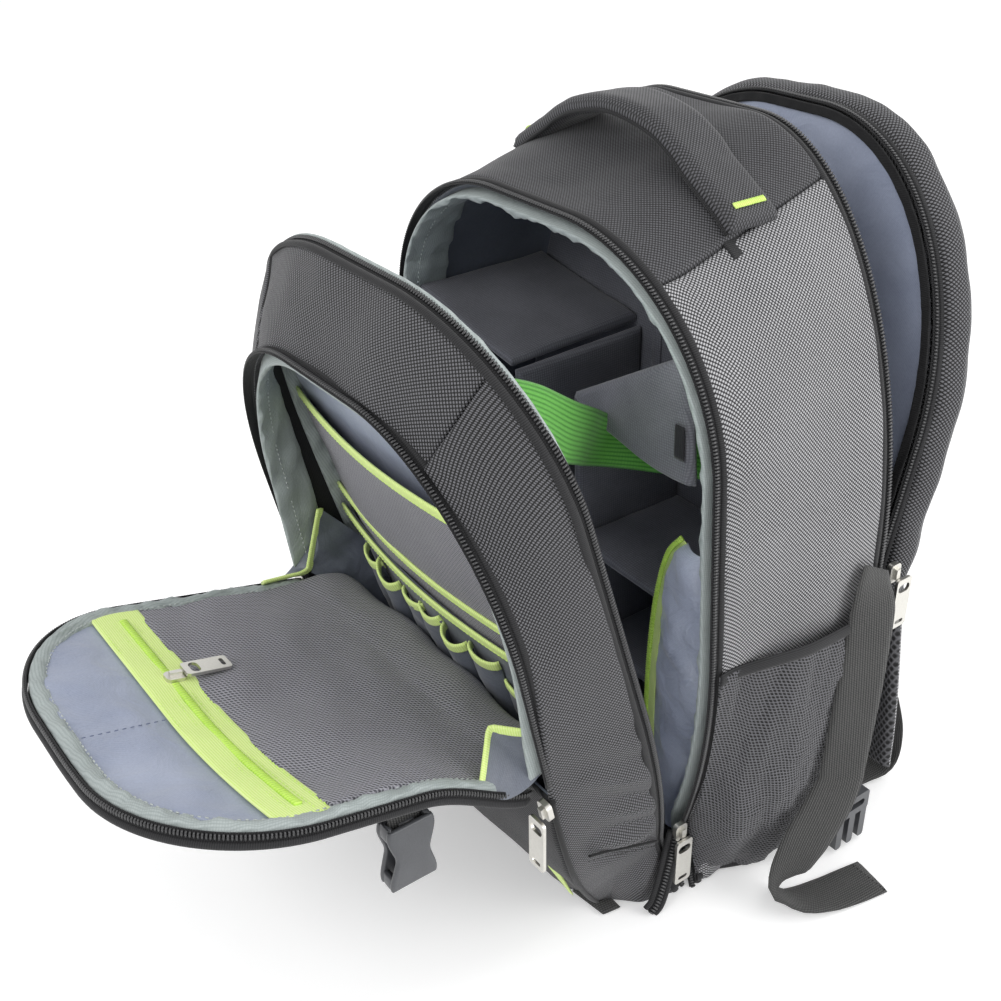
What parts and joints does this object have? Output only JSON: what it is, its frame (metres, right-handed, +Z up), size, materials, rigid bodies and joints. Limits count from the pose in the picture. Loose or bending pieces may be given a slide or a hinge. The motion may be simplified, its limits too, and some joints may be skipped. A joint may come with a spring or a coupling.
{
  "type": "camera backpack",
  "caption": "Padded camera backpack, opened: camera bay with dividers, front cover with organizer and fold-down flap, side mesh pockets, and a zip-round laptop compartment.",
  "frame": {"origin": "middle of the flat underside of the body, which the bag stands on", "axes": "+Z up; -Y towards the opened front cover and flap; +Y towards the shoulder straps; +X towards the right side pocket as seen from the front"},
  "size_m": [0.4096, 0.5272, 0.4571],
  "materials": {
    "black_nylon": "coarse woven nylon, matt",
    "ribbed_fabric": "cross-ribbed fabric, matt",
    "padded_lining": "brushed loop fabric over foam",
    "satin_lining": "smooth satin",
    "black_mesh": "open mesh and spacer mesh",
    "zip_coil": "coil zip on woven tape",
    "lime_zip": "lime green tape and coil",
    "webbing": "flat woven webbing",
    "green_elastic": "ribbed elastic",
    "satin_nickel": "satin plated",
    "buckle_plastic": "moulded, fine grain"
  },
  "bodies": {
    "bag": {"adjuster_webbings": "webbing", "back_wall": "padded_lining", "base_panel": "black_nylon", "divider_folded": "padded_lining", "divider_shelves": "padded_lining", "divider_tall": "padded_lining", "divider_upper": "padded_lining", "front_corners": "black_nylon", "handle_anchors": "black_nylon", "handle_grip": "ribbed_fabric", "laptop_mouth_zip": "zip_coil", "lumbar_pad": "black_mesh", "lumbar_panel": "black_nylon", "mouth_zip": "zip_coil", "pocket_bindings": "black_nylon", "side_panels": "black_nylon", "side_plugs": "buckle_plastic", "side_pockets": "black_mesh", "side_straps": "webbing", "stop_strap": "green_elastic", "strap_tabs": "webbing", "top_panel": "black_nylon", "wing_zips": "lime_zip", "wings": "satin_lining", "zip_sliders": "satin_nickel"},
    "cover": {"cover_sides": "black_nylon", "cover_top": "black_nylon", "cover_lower_front": "ribbed_fabric", "cover_sole": "black_nylon", "cover_zip": "zip_coil", "pocket_rim_zip": "zip_coil", "organizer_wall": "padded_lining", "organizer_mesh_pocket": "black_mesh", "organizer_sleeve": "satin_lining", "pen_pockets": "satin_lining", "pocket_sliders": "satin_nickel", "flap_gussets": "satin_lining"},
    "flap": {"flap_panel": "black_nylon", "flap_zip": "zip_coil", "flap_lining": "satin_lining", "flap_mesh_pocket": "black_mesh", "flap_pocket_tape": "lime_zip"},
    "laptop_back": {"laptop_panel": "black_nylon", "laptop_panel_zip": "zip_coil", "laptop_lining": "padded_lining", "back_pads": "black_mesh", "strap_yoke": "black_nylon", "shoulder_straps": "black_mesh"},
    "flap_slider": {"flap_slider": "satin_nickel"},
    "flap_pull": {"flap_pull": "satin_nickel"},
    "mouth_pull_left": {"mouth_pull_left": "satin_nickel"},
    "mouth_pull_right": {"mouth_pull_right": "satin_nickel"},
    "laptop_pull_left": {"laptop_pull_left": "satin_nickel"},
    "laptop_pull_right": {"laptop_pull_right": "satin_nickel"},
    "pocket_pull_left": {"pocket_pull_left": "satin_nickel"},
    "pocket_pull_right": {"pocket_pull_right": "satin_nickel"},
    "buckle_socket_left": {"buckle_socket_left": "buckle_plastic"},
    "buckle_socket_right": {"buckle_socket_right": "buckle_plastic"}
  },
  "joints": [
    {"name": "cover_hinge", "type": "hinge", "parent": "bag", "child": "cover", "pos_m": [0, -0.0546, 0.001], "axis": [-1, 0, 0], "range_deg": [0, 12.8], "deforming": ["stop_strap"]},
    {"name": "flap_hinge", "type": "hinge", "parent": "cover", "child": "flap", "pos_m": [0, -0.16957, 0.14497], "axis": [-1, 0, 0], "range_deg": [0, 64], "deforming": ["flap_gussets"]},
    {"name": "laptop_hinge", "type": "hinge", "parent": "bag", "child": "laptop_back", "pos_m": [0, 0.0546, 0.168], "axis": [1, 0, 0], "range_deg": [0, 13.2], "deforming": ["adjuster_webbings"]},
    {"name": "flap_pocket_slide", "type": "slide", "parent": "flap", "child": "flap_slider", "axis": [1, 0, 0], "range_m": [-0.066, 0.138]},
    {"name": "flap_pull_hinge", "type": "hinge", "parent": "flap_slider", "child": "flap_pull", "pos_m": [-0.036, -0.28938, 0.18017], "axis": [1, 0, 0], "range_deg": [0, 125]},
    {"name": "pocket_pull_right_hinge", "type": "hinge", "parent": "cover", "child": "pocket_pull_right", "pos_m": [0.1318, -0.17517, 0.13109], "axis": [-1, 0, 0], "range_deg": [0, 60]},
    {"name": "mouth_pull_right_hinge", "type": "hinge", "parent": "bag", "child": "mouth_pull_right", "pos_m": [0.1271, -0.0605, 0.043], "axis": [0, -1, 0], "range_deg": [0, 60]},
    {"name": "laptop_pull_right_hinge", "type": "hinge", "parent": "bag", "child": "laptop_pull_right", "pos_m": [0.1592, 0.07, 0.196], "axis": [0, -1, 0], "range_deg": [0, 60]},
    {"name": "pocket_pull_left_hinge", "type": "hinge", "parent": "cover", "child": "pocket_pull_left", "pos_m": [-0.1318, -0.17517, 0.13109], "axis": [-1, 0, 0], "range_deg": [0, 60]},
    {"name": "mouth_pull_left_hinge", "type": "hinge", "parent": "bag", "child": "mouth_pull_left", "pos_m": [-0.1271, -0.0605, 0.043], "axis": [0, 1, 0], "range_deg": [0, 60]},
    {"name": "laptop_pull_left_hinge", "type": "hinge", "parent": "bag", "child": "laptop_pull_left", "pos_m": [-0.1592, 0.07, 0.196], "axis": [0, 1, 0], "range_deg": [0, 60]},
    {"name": "buckle_swing_right", "type": "hinge", "parent": "flap", "child": "buckle_socket_right", "pos_m": [0.112, -0.24612, 0.15159], "axis": [1, 0, 0], "range_deg": [-20, 20]},
    {"name": "buckle_swing_left", "type": "hinge", "parent": "flap", "child": "buckle_socket_left", "pos_m": [-0.112, -0.24612, 0.15159], "axis": [1, 0, 0], "range_deg": [-20, 20]}
  ]
}
